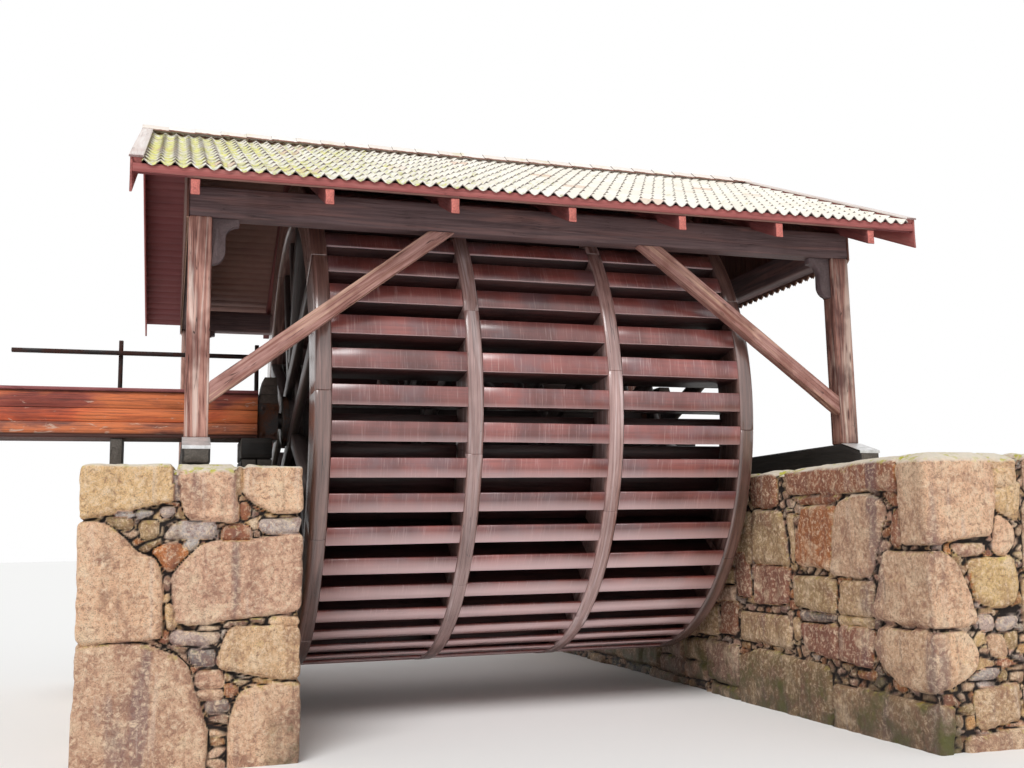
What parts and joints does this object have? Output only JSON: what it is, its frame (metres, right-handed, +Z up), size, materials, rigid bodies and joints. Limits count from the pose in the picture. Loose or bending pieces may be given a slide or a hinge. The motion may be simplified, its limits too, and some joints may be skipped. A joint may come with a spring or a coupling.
{
  "type": "watermill wheel house",
  "caption": "Wide wooden bucket wheel turning between granite piers under an open tiled gable roof on braced posts, with a boxed shaft to the left.",
  "frame": {"origin": "on the foot of the masonry, at the middle of the whole model's outline; the wheel's middle is straight above", "axes": "+X along the axle to the right, +Y from the front to the rear, +Z up"},
  "size_m": [12.56, 12.04, 7.7128],
  "materials": {
    "granite": "rough split granite, mossy at the edges",
    "sill_wood": "old wet timber, nearly black",
    "sheet": "weathered galvanised sheet",
    "frame_wood": "faded pinkish brown timber",
    "plate_wood": "dark brown timber",
    "roof_wood": "red-brown rafters and boards",
    "red_boards": "faded red distemper",
    "roof_tiles": "pale weathered clay with moss",
    "ridge_tiles": "dark red-brown clay",
    "iron": "dark rusty iron",
    "hood_wood": "dark tarred boards",
    "box_wood": "red-brown boards",
    "rail": "dark painted rail",
    "shaft_wood": "dark timber",
    "wheel_wood": "wet grey-brown timber",
    "bucket_boards": "wet red boards",
    "inner_boards": "dark wet boards"
  },
  "bodies": {
    "house": {"left_pier": "granite", "right_pier": "granite", "right_wing_wall": "granite", "left_sill": "sill_wood", "right_sill": "sill_wood", "shaft_box_stools": "sill_wood", "pedestals": "sill_wood", "sill_flashings": "sheet", "front_left_post": "frame_wood", "front_right_post": "frame_wood", "rear_left_post": "frame_wood", "rear_right_post": "frame_wood", "front_braces": "frame_wood", "rear_braces": "frame_wood", "post_brackets": "frame_wood", "front_wall_plate": "plate_wood", "rear_wall_plate": "plate_wood", "left_tie_beam": "plate_wood", "right_tie_beam": "plate_wood", "front_rafters": "roof_wood", "rear_rafters": "roof_wood", "front_roof_boards": "roof_wood", "rear_roof_boards": "roof_wood", "front_fascia": "red_boards", "rear_fascia": "red_boards", "front_barge_boards": "red_boards", "rear_barge_boards": "red_boards", "front_verge_boards": "red_boards", "rear_verge_boards": "red_boards", "left_gable_boards": "red_boards", "right_gable_boards": "red_boards", "front_tiles": "roof_tiles", "rear_tiles": "roof_tiles", "ridge_tiles": "ridge_tiles", "left_bearing": "iron", "right_bearing": "iron", "bearing_hoods": "hood_wood", "shaft_box_sides": "box_wood", "shaft_box_floor": "box_wood", "shaft_box_lid": "box_wood", "handrail_posts": "rail", "handrail": "rail"},
    "wheel": {"axle": "wheel_wood", "shaft": "shaft_wood", "right_gudgeon": "iron", "ring_1": "wheel_wood", "ring_2": "wheel_wood", "ring_3": "wheel_wood", "ring_4": "wheel_wood", "level_arms": "wheel_wood", "upright_arms": "wheel_wood", "half_arms": "wheel_wood", "bucket_fronts": "bucket_boards", "bucket_floors": "inner_boards", "sole_boards": "inner_boards"}
  },
  "joints": [
    {"name": "wheel_spin", "type": "hinge", "parent": "house", "child": "wheel", "pos_m": [0, 0, 3.72], "axis": [1, 0, 0], "continuous": true}
  ]
}
